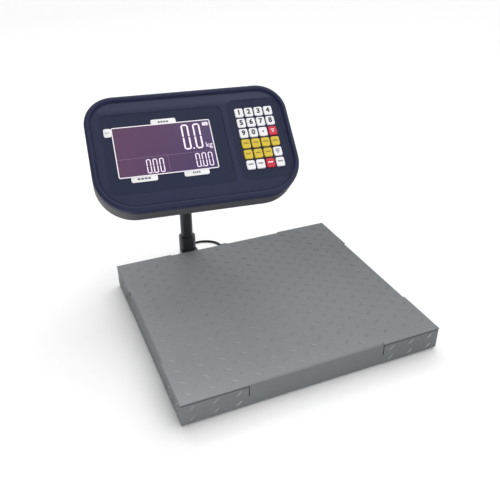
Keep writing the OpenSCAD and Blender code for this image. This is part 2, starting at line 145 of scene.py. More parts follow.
def arc(cx, cy, r, a0, a1, n):
    step = (a1 - a0) / (n - 1)
    return [(cx + r * math.cos(math.radians(a0 + i * step)), cy + r * math.sin(math.radians(a0 + i * step)))
            for i in range(n)]


def rounded_rect(mid, size, r, grow=0, n=8):
    """Outline of a rounded rectangle, counter-clockwise, moved outwards by grow."""
    w, h, r = size[0] / 2 + grow, size[1] / 2 + grow, max(r + grow, 0.05)
    out = []
    for sx, sy, a in ((1, 1, 0), (-1, 1, 90), (-1, -1, 180), (1, -1, 270)):
        out += arc(mid[0] + sx * (w - r), mid[1] + sy * (h - r), r, a, a + 90, n)
    return out


def loft(rings, z_list, closed_end=False):
    """Verts and quads of a skin through outlines of equal length at the given heights."""
    n = len(rings[0])
    verts = [(x, y, z) for ring, z in zip(rings, z_list) for x, y in ring]
    faces = [(i * n + k, i * n + (k + 1) % n, (i + 1) * n + (k + 1) % n, (i + 1) * n + k)
             for i in range(len(rings) - 1) for k in range(n)]
    if closed_end:
        faces.append(tuple((len(rings) - 1) * n + k for k in range(n)))
    return verts, faces


def inside(point, outline):
    x, y = point
    odd = False
    for (x0, y0), (x1, y1) in zip(outline, outline[1:] + outline[:1]):
        if (y0 > y) != (y1 > y) and x < x0 + (y - y0) * (x1 - x0) / (y1 - y0):
            odd = not odd
    return odd


def flat_fill(outer, holes, z):
    """Triangles of a flat area between an outline and the holes in it."""
    points, edges = [], []
    for loop in [outer] + holes:
        base = len(points)
        points += [Vector(p) for p in loop]
        edges += [(base + i, base + (i + 1) % len(loop)) for i in range(len(loop))]
    verts, _, faces, _, _, _ = delaunay_2d_cdt(points, edges, [], 1, 1e-6)
    keep = []
    for face in faces:
        mid = sum((verts[i] for i in face), Vector((0, 0))) / len(face)
        if inside(mid, outer) and not any(inside(mid, hole) for hole in holes):
            keep.append(tuple(face))
    return [(v.x, v.y, z) for v in verts], keep


def merge(parts):
    """Joins (verts, faces) lists into one."""
    verts, faces = [], []
    for v, f in parts:
        base = len(verts)
        verts += list(v)
        faces += [tuple(base + i for i in face) for face in f]
    return verts, faces


def spin(profile, n=48):
    """A closed solid turned about Z from (radius, z) pairs."""
    rings = [[(max(r, 0.01) * math.cos(2 * math.pi * k / n), max(r, 0.01) * math.sin(2 * math.pi * k / n))
              for k in range(n)] for r, _ in profile]
    verts, faces = loft(rings, [z for _, z in profile], True)
    faces.append(tuple(range(n - 1, -1, -1)))
    return verts, faces


BODY_OF = {node: name for name, nodes in frame["record"]["behaviour"]["bodies"].items() for node in nodes}


def even_shading(piece):
    """Smooth shading, sharp at clear edges, that large flat faces keep flat."""
    for face in piece.data.polygons:
        face.use_smooth = True
    piece.data.set_sharp_from_angle(angle=math.radians(SHARP))
    even = piece.modifiers.new("even", "WEIGHTED_NORMAL")
    even.keep_sharp = True
    apply(piece)


def softened(node, width, finish, segments=2, edge_finish=None, shaded_side_finish=None):
    """Stands a copy of a CAD node in for it, its edges rounded by width millimetres.

    edge_finish goes on the rounded edges, and the last finish, a darker copy of the paint that stands for shade,
    on upright faces.
    """
    data = frame["nodes"][node].data.copy()
    mesh = bmesh.new()
    mesh.from_mesh(data)
    bmesh.ops.remove_doubles(mesh, verts=mesh.verts, dist=1e-6)
    bmesh.ops.dissolve_limit(mesh, angle_limit=math.radians(1), verts=mesh.verts, edges=mesh.edges)
    mesh.to_mesh(data)
    mesh.free()
    data.materials.clear()
    piece = finish_mesh(node + "_piece", data, Matrix(), BODY_OF[node], finish)
    for extra in (edge_finish, shaded_side_finish):
        if extra:
            piece.data.materials.append(extra)
    for face in piece.data.polygons:
        # Upright faces take the darker copy: painted shade on the sides
        face.material_index = 2 if shaded_side_finish and abs(face.normal.z) < 0.5 else 0
    bevel = piece.modifiers.new("edge", "BEVEL")
    bevel.width = width * MM
    bevel.segments = segments
    bevel.limit_method = "ANGLE"
    bevel.angle_limit = math.radians(30)
    if edge_finish:
        bevel.material = 1
    apply(piece)
    even_shading(piece)
    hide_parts(node)


# ------------------------------------------------------------------ materials


def material(name, colour, rough, metallic=0.0, mottle=0.12, mottle_size=40, grain=900, grain_up=0.08,
             smear=0.08, smear_size=25, coat=0.0, specular=0.5, emit=0.0, fade=None):
    """A procedural finish: mottled colour, uneven roughness and a fine grain in the surface.

    fade = (colour, from, to) turns the colour into another one between two points, in metres.
    """
    made = bpy.data.materials.new(name)
    made.use_nodes = True
    nodes, links = made.node_tree.nodes, made.node_tree.links
    shader = nodes["Principled BSDF"]
    shader.inputs["Metallic"].default_value = metallic
    shader.inputs["Specular IOR Level"].default_value = specular
    if coat:
        shader.inputs["Coat Weight"].default_value = coat
        shader.inputs["Coat Roughness"].default_value = 0.12
    place = nodes.new("ShaderNodeTexCoord")

    def noise(scale, detail=4.0):
        node = nodes.new("ShaderNodeTexNoise")
        node.inputs["Scale"].default_value = scale
        node.inputs["Detail"].default_value = detail
        links.new(place.outputs["Object"], node.inputs["Vector"])
        return node.outputs["Fac"]

    def shade(factor):
        return tuple(min(1.0, c * factor) for c in colour) + (1.0,)

    ramp = nodes.new("ShaderNodeValToRGB")
    ramp.color_ramp.elements[0].position = 0.3
    ramp.color_ramp.elements[1].position = 0.7
    ramp.color_ramp.elements[0].color = shade(1 - mottle)
    ramp.color_ramp.elements[1].color = shade(1 + mottle)
    links.new(noise(mottle_size), ramp.inputs["Fac"])
    base = ramp.outputs["Color"]
    if fade:
        far_colour, begin, stop = fade
        run = Vector(stop) - Vector(begin)
        away = nodes.new("ShaderNodeVectorMath")
        away.operation = "SUBTRACT"
        links.new(place.outputs["Object"], away.inputs[0])
        away.inputs[1].default_value = begin
        along = nodes.new("ShaderNodeVectorMath")
        along.operation = "DOT_PRODUCT"
        links.new(away.outputs["Vector"], along.inputs[0])
        along.inputs[1].default_value = run / run.length_squared
        mix = nodes.new("ShaderNodeMix")
        mix.data_type = "RGBA"
        mix.clamp_factor = True
        links.new(along.outputs["Value"], mix.inputs["Factor"])
        links.new(base, mix.inputs["A"])
        mix.inputs["B"].default_value = tuple(far_colour) + (1.0,)
        base = mix.outputs["Result"]
    links.new(base, shader.inputs["Base Color"])
    if emit:
        links.new(base, shader.inputs["Emission Color"])
        shader.inputs["Emission Strength"].default_value = emit
    spread = nodes.new("ShaderNodeMapRange")
    spread.inputs["To Min"].default_value = max(rough - smear, 0.02)
    spread.inputs["To Max"].default_value = min(rough + smear, 1.0)
    links.new(noise(smear_size, 6.0), spread.inputs["Value"])
    links.new(spread.outputs["Result"], shader.inputs["Roughness"])
    bump = nodes.new("ShaderNodeBump")
    bump.inputs["Strength"].default_value = grain_up
    bump.inputs["Distance"].default_value = 0.0004
    links.new(noise(grain, 3.0), bump.inputs["Height"])
    links.new(bump.outputs["Normal"], shader.inputs["Normal"])
    return made


# The deck's colours run from darker at the back right to much lighter at the front left corner: a painted pool of
# light over the paint's own grey
DECK_NEAR_LIT = DECK @ Vector((-300, -267, 0))
DECK_FAR_SHADED = DECK @ Vector((200, 200, 0))
# Deck top and one lug family: grey paint, with painted light brightening it towards the front left
DECK_PAINT_AND_LIGHT = material("deck_paint", (0.108, 0.117, 0.123), 0.46, mottle=0.06, mottle_size=7, grain=1500,
                      grain_up=0.3, smear=0.08, smear_size=12, specular=0.35,
                      fade=((0.248, 0.264, 0.278), DECK_FAR_SHADED, DECK_NEAR_LIT))
# Upright faces of the deck and the corner skirts: a darker copy of the deck paint, painted shade, also lighter
# towards the front left
SIDE_PAINTED_SHADE = material("side_painted_shade", (0.110, 0.120, 0.124), 0.5, mottle=0.1, mottle_size=7, grain=1500,
                      grain_up=0.3, smear=0.08, smear_size=12, specular=0.3,
                      fade=((0.178, 0.191, 0.197), DECK_FAR_SHADED, DECK_NEAR_LIT))
# Lugs of one family on the top: lighter than the deck near the front, a painted glint
TREAD_PAINTED_GLINT = material("tread_painted_glint", (0.116, 0.125, 0.131), 0.36, mottle=0.1, mottle_size=60, grain=1500,
                       grain_up=0.15, specular=0.45,
                       fade=((0.350, 0.360, 0.362), DECK_FAR_SHADED, DECK_NEAR_LIT))
# Rising lugs on the corner skirts: a light grey that paints a glint on one lug family
SKIRT_LUG_PAINTED_GLINT = material("skirt_lug_painted_glint", (0.290, 0.300, 0.296), 0.34, mottle=0.25, mottle_size=60, grain=1500,
                      grain_up=0.15, specular=0.45)
DECK_EDGE = material("deck_edge", (0.20, 0.215, 0.222), 0.36, mottle=0.2, mottle_size=60, grain=1500,
                     grain_up=0.2, specular=0.4)
FRAME_PAINT = material("frame_paint", (0.05, 0.055, 0.06), 0.55, mottle=0.15, grain_up=0.2)
CELL_STEEL = material("cell_steel", (0.6, 0.59, 0.56), 0.32, 1.0, mottle=0.06, grain=700, grain_up=0.1)
ZINC = material("zinc_steel", (0.62, 0.63, 0.65), 0.28, 1.0, mottle=0.1, mottle_size=120, grain_up=0.05)
GLAND_METAL = material("gland_metal", (0.72, 0.7, 0.66), 0.22, 1.0, mottle=0.05, grain_up=0.03)
BOX_PLASTIC = material("box_plastic", (0.3, 0.31, 0.31), 0.5, mottle=0.05, grain_up=0.2)
CABLE = material("cable_sheath", (0.008, 0.008, 0.009), 0.45, mottle=0.2, mottle_size=60, grain_up=0.1,
                 specular=0.3)
RUBBER = material("foot_rubber", (0.012, 0.012, 0.013), 0.8, mottle=0.25, grain=1200, grain_up=0.5)
PILLAR_PAINT = material("pillar_paint", (0.020, 0.022, 0.028), 0.38, mottle=0.1, grain=1500, grain_up=0.15)
PILLAR_EDGE = material("pillar_edge", (0.05, 0.052, 0.058), 0.32, mottle=0.2, grain=1500, grain_up=0.1)
CAST_BLACK = material("cast_black", (0.014, 0.015, 0.017), 0.5, mottle=0.15, grain=600, grain_up=0.5)
CAST_EDGE = material("cast_edge", (0.035, 0.036, 0.038), 0.4, mottle=0.2, grain=600, grain_up=0.3)
KNOB_BLACK = material("knob_plastic", (0.010, 0.010, 0.011), 0.45, mottle=0.1, grain=1500, grain_up=0.3)
# The indicator's face turns lighter from 96 to 106 mm above its middle, just below the rim: a painted sheen band
SHEEN_LOW = HEAD @ Vector((0, 96, 0))
SHEEN_TOP = HEAD @ Vector((0, 106, 0))
SHELL_NAVY = material("shell_navy", (0.023, 0.026, 0.066), 0.45, mottle=0.05, mottle_size=20, grain=1700,
                      grain_up=0.22, smear=0.05, specular=0.2)
FACE_NAVY_PAINTED_SHEEN = material("face_navy_painted_sheen", (0.025, 0.028, 0.069), 0.45, mottle=0.05, mottle_size=20, grain=1700,
                     grain_up=0.22, smear=0.05, specular=0.2,
                     fade=((0.044, 0.048, 0.096), SHEEN_LOW, SHEEN_TOP))
PANEL_NAVY = material("panel_film", (0.022, 0.027, 0.060), 0.5, mottle=0.04, mottle_size=20, grain=2200,
                      grain_up=0.1, smear=0.04, specular=0.15)
SHELL_GREY = material("shell_grey", (0.070, 0.071, 0.080), 0.5, mottle=0.06, mottle_size=20, grain=1700,
                      grain_up=0.3, specular=0.35)
PANE_LEFT = HEAD @ Vector((-150, 30, 0))
PANE_RIGHT = HEAD @ Vector((40, -50, 0))
PANE = material("pane_tint", (0.145, 0.074, 0.144), 0.3, mottle=0.03, mottle_size=3, grain_up=0.0,
                smear=0.03, specular=0.15, fade=((0.076, 0.052, 0.142), PANE_LEFT, PANE_RIGHT))
DIGIT_LIT = material("digit_lit", (0.90, 0.78, 0.92), 0.35, mottle=0.03, grain_up=0.01, emit=0.35)
LABEL_WHITE = material("label_white", (0.94, 0.94, 0.95), 0.4, mottle=0.02, grain_up=0.04)
LINE_WHITE = material("border_white", (0.86, 0.82, 0.88), 0.35, mottle=0.03, grain_up=0.03, emit=0.2)
INK_DARK = material("ink_dark", (0.02, 0.022, 0.035), 0.5, mottle=0.1, grain_up=0.05)
INK_OCHRE = material("ink_on_yellow", (0.30, 0.20, 0.02), 0.5, mottle=0.1, grain_up=0.05)
INK_GREY = material("ink_grey", (0.16, 0.16, 0.19), 0.5, mottle=0.1, grain_up=0.05)
LINE_MAUVE = material("divider_line", (0.30, 0.20, 0.30), 0.4, mottle=0.05, grain_up=0.02)
KEY_WHITE = material("key_white", (0.92, 0.92, 0.95), 0.38, mottle=0.02, grain=1500, grain_up=0.1)
KEY_YELLOW = material("key_yellow", (0.72, 0.54, 0.035), 0.38, mottle=0.04, grain=1500, grain_up=0.1)
KEY_RED = material("key_red", (0.64, 0.018, 0.045), 0.36, mottle=0.04, grain=1500, grain_up=0.1)
SILICONE = material("silicone", (0.45, 0.45, 0.46), 0.5, mottle=0.05)
BOARD = material("board_green", (0.01, 0.11, 0.045), 0.35, mottle=0.2, mottle_size=200, coat=0.3)
BATTERY_WRAP = material("battery_wrap", (0.01, 0.04, 0.2), 0.25, mottle=0.05)
GLOSS_BLACK = material("gloss_black", (0.012, 0.012, 0.012), 0.2, mottle=0.1)
MODULE = material("module_black", (0.02, 0.014, 0.026), 0.3, mottle=0.1)

CAD_FINISH = {
    "frame_rails": FRAME_PAINT, "cell_plates": FRAME_PAINT, "load_cells": CELL_STEEL,
    "cell_fasteners": ZINC, "load_cell_leads": CABLE, "pillar_bolts": ZINC, "shell_screws": ZINC,
    "display_module": MODULE, "keypad_mat": SILICONE, "main_board": BOARD, "battery": BATTERY_WRAP,
}


def finish_cad_nodes():
    for node, finish in CAD_FINISH.items():
        data = frame["nodes"][node].data
        data.materials.clear()
        data.materials.append(finish)


# ------------------------------------------------------------------ lead

# The lead's route, from the deck's gland to the pillar's, as in the CAD source
LEAD_R = 3
LEAD = [
    (18, 288, 30), (18, 296, 30), (18, 306, 28), (17.5, 317, 23), (16.5, 328, 16),
    (15.3, 338, 9.5), (14, 348, 5), (12.6, 357.8, 3.3), (8.7, 367.1, 3.2), (2.2, 375.4, 3.2),
    (-6.3, 382.4, 3.2), (-16.6, 387.6, 3.2), (-28, 390.9, 3.2), (-40, 392, 3.2),
    (-53.4, 390.8, 3.2), (-66, 387.4, 3.3), (-77.4, 382, 4), (-86.9, 374.7, 6.2),
    (-94.1, 366, 9.5), (-98.5, 356.2, 13.3), (-100, 346, 16), (-100, 340, 16.5)]


def add_lead():
    data = bpy.data.curves.new("platform_lead", "CURVE")
    data.dimensions = "3D"
    data.bevel_depth = LEAD_R * MM
    data.bevel_resolution = 5
    data.resolution_u = 6
    data.use_fill_caps = True
    spline = data.splines.new("BEZIER")
    spline.bezier_points.add(len(LEAD) - 1)
    for point, place in zip(spline.bezier_points, LEAD):
        point.co = DECK @ Vector(place)
        point.handle_left_type = point.handle_right_type = "AUTO"
    data.materials.append(CABLE)
    lead = bpy.data.objects.new("platform_lead", data)
    bpy.context.collection.objects.link(lead)
    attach(lead, PLATFORM)
    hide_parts("platform_cord")


# ------------------------------------------------------------------ deck

# A lug's length, width and height, the pitch and turn of the pattern, and its distance from the edges
LUG_L = 18
LUG_W = 4.5
LUG_UP = 1.3
LUG_PX = 48.8
LUG_PY = 34.8
LUG_TURN = 35
SKIRT_TURN = 43
TOP_MARGIN = 13
# On the corner skirts: the first column, the two rows below the skirt's top, the distance from its end
SKIRT_EDGE = 24
SKIRT_ROWS = (9.5, 35.5)
SKIRT_MARGIN = 11
# One lug family on the top and one on the skirts take lighter colours, painted glints; the others take the deck
# colour and the darker painted side shade
LUG_FINISH = {"tread_lugs_across": TREAD_PAINTED_GLINT, "tread_lugs_back": DECK_PAINT_AND_LIGHT,
              "skirt_lugs_rising": SKIRT_LUG_PAINTED_GLINT, "skirt_lugs_falling": SIDE_PAINTED_SHADE}
LUG_EDGE = 23
LUG_SINK = 0.05
CORNER_X = 142
CORNER_Y = 128


def lug(at, turn, to_world):
    """One raised lens of the tread: at and turn are in its plane, to_world maps (u, v, up)."""
    rows, cols = 5, 9
    verts = []
    c, s = math.cos(math.radians(turn)), math.sin(math.radians(turn))
    for i in range(rows):
        for k in range(cols):
            along = -1 + 2 * k / (cols - 1)
            across = -1 + 2 * i / (rows - 1)
            half = (1 - along * along) ** 0.8
            x, y = along * LUG_L / 2, across * LUG_W / 2 * half
            up = LUG_UP * (1 - abs(across) ** 2.2) * half ** 0.5
            verts.append(to_world(at[0] + c * x - s * y, at[1] + s * x + c * y, up - LUG_SINK))
    faces = [(i * cols + k, i * cols + k + 1, (i + 1) * cols + k + 1, (i + 1) * cols + k)
             for i in range(rows - 1) for k in range(cols - 1)]
    return verts, faces


def lug_grid():
    """Places of both families of lugs on the deck's top, from its front left corner: (u, v, turn)."""
    columns, rows = int(DECK_W / LUG_PX) + 1, int(DECK_D / LUG_PY) + 1
    out = []
    for family, turn in ((0, -LUG_TURN), (0.5, LUG_TURN)):
        for i in range(-1, columns):
            for k in range(-1, rows):
                u, v = LUG_EDGE + (i + family) * LUG_PX, LUG_EDGE + (k + family) * LUG_PY
                if LUG_L / 2 < u < DECK_W - LUG_L / 2 and TOP_MARGIN < v < DECK_D - TOP_MARGIN:
                    out.append((u, v, turn))
    return out


def add_tread():
    """The lugs of the tread plate on the top and on the corner skirts, each family as one mesh."""
    x0, y0 = -DECK_W / 2, -DECK_D / 2
    groups = {name: [] for name in LUG_FINISH}
    for u, v, turn in lug_grid():
        group = "tread_lugs_across" if turn < 0 else "tread_lugs_back"
        groups[group].append(lug((u, v), turn, lambda a, b, up: (x0 + a, y0 + b, DECK_TOP + up)))
    skirt_lo, skirt_hi = (Vector(corner) / MM - DECK_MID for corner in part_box("corner_skirts"))
    rows = [skirt_hi.z - drop for drop in SKIRT_ROWS]
    sides = (
        (CORNER_X, lambda a, z, up: (x0 + a, skirt_lo.y - up, z), False),
        (CORNER_X, lambda a, z, up: (-x0 - a, skirt_lo.y - up, z), True),
        (CORNER_X, lambda a, z, up: (-x0 - a, skirt_hi.y + up, z), False),
        (CORNER_X, lambda a, z, up: (x0 + a, skirt_hi.y + up, z), True),
        (CORNER_Y, lambda a, z, up: (skirt_lo.x - up, y0 + a, z), True),
        (CORNER_Y, lambda a, z, up: (skirt_lo.x - up, -y0 - a, z), False),
        (CORNER_Y, lambda a, z, up: (skirt_hi.x + up, y0 + a, z), False),
        (CORNER_Y, lambda a, z, up: (skirt_hi.x + up, -y0 - a, z), True))
    for length, to_world, mirrored in sides:
        for i in range(3):
            for family, group in ((0, "skirt_lugs_rising"), (0.5, "skirt_lugs_falling")):
                a = SKIRT_EDGE + (i + family) * LUG_PX
                turn = SKIRT_TURN if (family == 0) != mirrored else -SKIRT_TURN
                heights = rows if family == 0 else [sum(rows) / 2]
                if a <= length - SKIRT_MARGIN:
                    groups[group] += [lug((a, z), turn, to_world) for z in heights]
    for name, lugs in groups.items():
        piece = make(name, *merge(lugs), DECK, PLATFORM, LUG_FINISH[name], smooth=180)
        weld(piece)


def add_platform():
    # The deck top fades to painted light at the front left; its upright faces and the corner skirts take the
    # darker copy, painted shade
    softened("deck_plate", 0.9, DECK_PAINT_AND_LIGHT, 3, DECK_EDGE, SIDE_PAINTED_SHADE)
    softened("corner_skirts", 0.8, SIDE_PAINTED_SHADE, 2, DECK_EDGE)
    softened("junction_box", 1.5, BOX_PLASTIC)
    softened("junction_lid", 0.8, BOX_PLASTIC)
    softened("deck_gland", 0.5, GLAND_METAL)
    for node in frame["nodes"]:
        if node.startswith("foot_"):
            softened(node, 0.8, RUBBER)
    add_tread()


# ------------------------------------------------------------------ pillar


def add_pillar():
    softened("pillar_bracket", 0.8, PILLAR_PAINT, 2, PILLAR_EDGE)
    softened("pillar_tube", 0.5, PILLAR_PAINT, 2, PILLAR_EDGE)
    softened("pillar_gland", 0.5, KNOB_BLACK)
    softened("swivel_head", 1.2, CAST_BLACK, 3, CAST_EDGE)
    softened("swivel_knob", 1.0, KNOB_BLACK, 3)
    softened("tilt_bracket", 0.8, PILLAR_PAINT, 2, PILLAR_EDGE)
    softened("tilt_knob_left", 1.2, KNOB_BLACK, 3)
    softened("tilt_knob_right", 1.2, KNOB_BLACK, 3)


# ------------------------------------------------------------------ indicator

CASE = (456, 274)
TOP_R = 66
LOW_R = 88
PART_Z = -12
BACK_Z = -62
RIM_H = 5
FRONT_WALL = 2
BACK_WALL = 2.6
PANEL_D = 1
DISPLAY = (217, 120)
DISPLAY_MID = (-65, 2)
DISPLAY_PANEL = ((-60, -2), (270, 190), 14)
KEY_PANEL = ((149, 2), (121, 200), 20)
KEY_FIRST = (114.3, 69.2)
KEY_PITCH = (22.8, 26)
KEY_SIZE = (19.4, 21.6)
KEY_R = 3.5
KEY_UP = 2.2
KEY_GAP = 0.35
FACE_IN = 16.2
PANE_R = 4
PANE_LAP = 6
BACK_IN = 11.9
BATTERY = ((0, -94), (104, 54), 3)
SCREWS = ((-165, 108), (0, 108), (165, 108), (-150, -108), (150, -108))


def case_outline(inset, n=22):
    """Outline of the casing, moved inwards."""
    w, h = CASE[0] / 2 - inset, CASE[1] / 2 - inset
    rt, rl = TOP_R - inset, LOW_R - inset
    out = []
    for sx, sy, a, r in ((1, 1, 0, rt), (-1, 1, 90, rt), (-1, -1, 180, rl), (1, -1, 270, rl)):
        out += arc(sx * (w - r), sy * (h - r), r, a, a + 90, n)
    return out


def fillet(inset0, z0, inset1, z1, hollow, n=6):
    """(inset, z) pairs of a quarter bend between two points, bulging or hollow."""
    out = []
    for i in range(n + 1):
        t = math.radians(90 * i / n)
        if hollow:
            out.append((inset0 + (inset1 - inset0) * (1 - math.cos(t)), z0 + (z1 - z0) * math.sin(t)))
        else:
            out.append((inset0 + (inset1 - inset0) * math.sin(t), z0 + (z1 - z0) * (1 - math.cos(t))))
    return out


def skin(profile, outline):
    return loft([outline(inset) for inset, _ in profile], [z for _, z in profile])


def recess(panel, depth):
    """The soft edge of a sunk panel, and the outlines it leaves above and below."""
    mid, size, r = panel
    profile = [(0.9, 0), (0.45, -0.08), (0.1, -0.35),
               (-0.1, -depth + 0.3), (-0.4, -depth + 0.05), (-0.8, -depth)]
    rings = [rounded_rect(mid, size, r, grow, 12) for grow, _ in profile]
    return loft(rings, [z for _, z in profile]), rings[0], rings[-1]


def key_mid(row, col):
    return (KEY_FIRST[0] + col * KEY_PITCH[0], KEY_FIRST[1] - row * KEY_PITCH[1])


def shell_finish(piece, thickness):
    """Gives a shell's outer skin its thickness, inwards."""
    weld(piece)
    solid = piece.modifiers.new("thick", "SOLIDIFY")
    solid.thickness = thickness * MM
    solid.offset = -1
    apply(piece)
    even_shading(piece)


def add_front_shell():
    # (inset, z) from the parting line up over the rim and down to the groove round the face
    profile = [(0, PART_Z), (0, PART_Z + 0.5), (0, -1.5)]
    profile += fillet(0, -1.5, 6.2, RIM_H, True)[1:]
    profile += [(8.0, RIM_H)]
    profile += fillet(8.0, RIM_H, 11.2, 1.8, False)[1:]
    profile += [(11.5, 0.2), (12.1, -0.5), (13.0, -0.6), (14.2, -0.3), (15.2, 0.0), (FACE_IN, 0.0)]
    walls = skin(profile, case_outline)
    display_edge, display_top, display_floor = recess(DISPLAY_PANEL, PANEL_D)
    keys_edge, keys_top, keys_floor = recess(KEY_PANEL, PANEL_D)
    face = flat_fill(case_outline(FACE_IN), [display_top, keys_top], 0)
    window = rounded_rect(DISPLAY_MID, [side - 2 * PANE_LAP for side in DISPLAY], 3)
    display_area = flat_fill(display_floor, [window], -PANEL_D)
    holes = [rounded_rect(key_mid(r, c), KEY_SIZE, KEY_R, KEY_GAP, 6) for r in range(6) for c in range(4)]
    key_area = flat_fill(keys_floor, holes, -PANEL_D)
    parts = [walls, face, display_edge, keys_edge, display_area, key_area]
    verts, faces = merge(parts)
    piece = make("front_shell_piece", verts, faces, HEAD, HEAD_BODY, SHELL_NAVY)
    piece.data.materials.append(FACE_NAVY_PAINTED_SHEEN)
    piece.data.materials.append(PANEL_NAVY)
    flat = len(walls[1])
    sunk = flat + len(face[1])
    for polygon in piece.data.polygons[flat:]:
        polygon.material_index = 1 if polygon.index < sunk else 2
    shell_finish(piece, FRONT_WALL)
    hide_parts("front_shell")


def add_rear_shell():
    # (inset, z) from below the parting line down to the flat back
    profile = [(1.0, PART_Z - 0.4), (1.0, -44)]
    profile += fillet(1.0, -44, 11.5, BACK_Z, True, 8)[1:]
    profile += [(BACK_IN, BACK_Z)]
    walls = skin(profile, case_outline)
    wells = []
    parts = [walls]
    for x, y in SCREWS:
        steps = [(4.6, BACK_Z), (4.2, BACK_Z + 0.3), (4.0, BACK_Z + 3.5)]
        rings = [arc(x, y, r, 0, 360 - 15, 24) for r, _ in steps]
        wells.append(rings[0])
        parts.append(loft(rings, [z for _, z in steps], True))
    parts.append(flat_fill(case_outline(BACK_IN), wells + [rounded_rect(*BATTERY)], BACK_Z))
    verts, faces = merge(parts)
    piece = make("rear_shell_piece", verts, faces, HEAD, HEAD_BODY, SHELL_GREY)
    shell_finish(piece, BACK_WALL)
    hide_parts("rear_shell")


PAD_EDGE = 0.2
STROKE_GAP = 0.12


def pad(name, mid, size, z0, z1, finish):
    """A thin flat plate on the indicator, with softly rounded edges."""
    steps = [(0, z0), (0, z1 - PAD_EDGE), (-PAD_EDGE * 0.3, z1 - PAD_EDGE * 0.3), (-PAD_EDGE, z1)]
    rings = [rounded_rect(mid, size, PANE_R, grow) for grow, _ in steps]
    verts, faces = loft(rings, [z for _, z in steps], True)
    faces.append(tuple(range(len(rings[0]) - 1, -1, -1)))
    piece = make(name, verts, faces, HEAD, HEAD_BODY, finish)
    return piece


def frame_strip(mid, size, r, width, z0, z1):
    """A flat raised border line."""
    outer = rounded_rect(mid, size, r, 0, 10)
    inner = rounded_rect(mid, size, r, -width, 10)
    return loft([outer, outer, inner, inner, outer], [z0, z1, z1, z0, z0])


def bar(x, y, w, h, z0, z1):
    """A flat bar from its lower left corner."""
    base = [(x, y), (x + w, y), (x + w, y + h), (x, y + h)]
    verts = [(a, b, z0) for a, b in base] + [(a, b, z1) for a, b in base]
    faces = [(3, 2, 1, 0), (4, 5, 6, 7), (0, 1, 5, 4), (1, 2, 6, 5), (2, 3, 7, 6), (3, 0, 4, 7)]
    return verts, faces


def segment(x0, y0, x1, y1, t, z0, z1):
    """One pointed stroke of a seven-segment figure."""
    a, b = Vector((x0, y0)), Vector((x1, y1))
    d = (b - a).normalized()
    n = Vector((-d.y, d.x)) * t / 2
    a, b = a + d * STROKE_GAP * t, b - d * STROKE_GAP * t
    tip = d * t / 2
    base = [a, a + tip - n, b - tip - n, b, b - tip + n, a + tip + n]
    verts = [(p.x, p.y, z0) for p in base] + [(p.x, p.y, z1) for p in base]
    faces = [tuple(range(5, -1, -1)), tuple(range(6, 12))]
    faces += [(i, (i + 1) % 6, 6 + (i + 1) % 6, 6 + i) for i in range(6)]
    return verts, faces


def zero_figure(x, y, w, h, t, z0, z1):
    """A seven-segment nought with its lower left corner at x, y."""
    xl, xr, yb, ym, yt = x + t / 2, x + w - t / 2, y + t / 2, y + h / 2, y + h - t / 2
    runs = ((xl, yb, xr, yb), (xl, yt, xr, yt), (xl, yb, xl, ym), (xl, ym, xl, yt),
            (xr, yb, xr, ym), (xr, ym, xr, yt))
    return [segment(*run, t, z0, z1) for run in runs]


TEXT_EXTRUDE = 0.05


def add_text(name, text, size, at, z, finish, body, bold=0.0):
    """Generic figures as a thin flat mesh on a face; at is the middle of the text."""
    data = bpy.data.curves.new(name, "FONT")
    data.body = text
    data.size = size
    data.align_x = "CENTER"
    data.align_y = "CENTER"
    data.extrude = TEXT_EXTRUDE
    data.offset = bold
    data.resolution_u = 4
    source = bpy.data.objects.new(name + "_source", data)
    bpy.context.collection.objects.link(source)
    mesh = bpy.data.meshes.new_from_object(source.evaluated_get(bpy.context.evaluated_depsgraph_get()))
    bpy.data.objects.remove(source)
    bpy.data.curves.remove(data)
    mesh.materials.clear()
    mesh.transform(Matrix.Translation((at[0], at[1], z)))
    piece = finish_mesh(name, mesh, HEAD, body, finish)


# Places on the display, to the right of and below its top left corner
LEFT = DISPLAY_MID[0] - DISPLAY[0] / 2
TOP = DISPLAY_MID[1] + DISPLAY[1] / 2
PANE_TOP = 0.2
PRINT_SINK = 0.05
PRINT_UP = 0.12
BORDER_W = 2.1
LINE_W = 0.6
LINE_DOWN = 77
LINE_INSET = 2
DIVIDER = (110, 41)  # place along the line, and height
READINGS = (  # left, low edge, noughts, pitch, width, height, stroke; the point's left, width and height
    (150, 69, 2, 26, 16.2, 61, 3.4, 169, 3.0, 3.4),
    (62, 115, 3, 14, 9.8, 33, 2, 73, 1.9, 2.1),
    (169.5, 113, 3, 14, 9.8, 33, 2, 180.5, 1.9, 2.1))
CHARGE_BARS = (199, 15, 3.3, 8.5)  # left, low edge, width, height of the first of three
CHARGE_PITCH = 4.3
CHARGE_TIP = (212, 13, 1.2, 4.5)
UNIT_SIZE = 17
UNIT_MID = (205, 62.5)


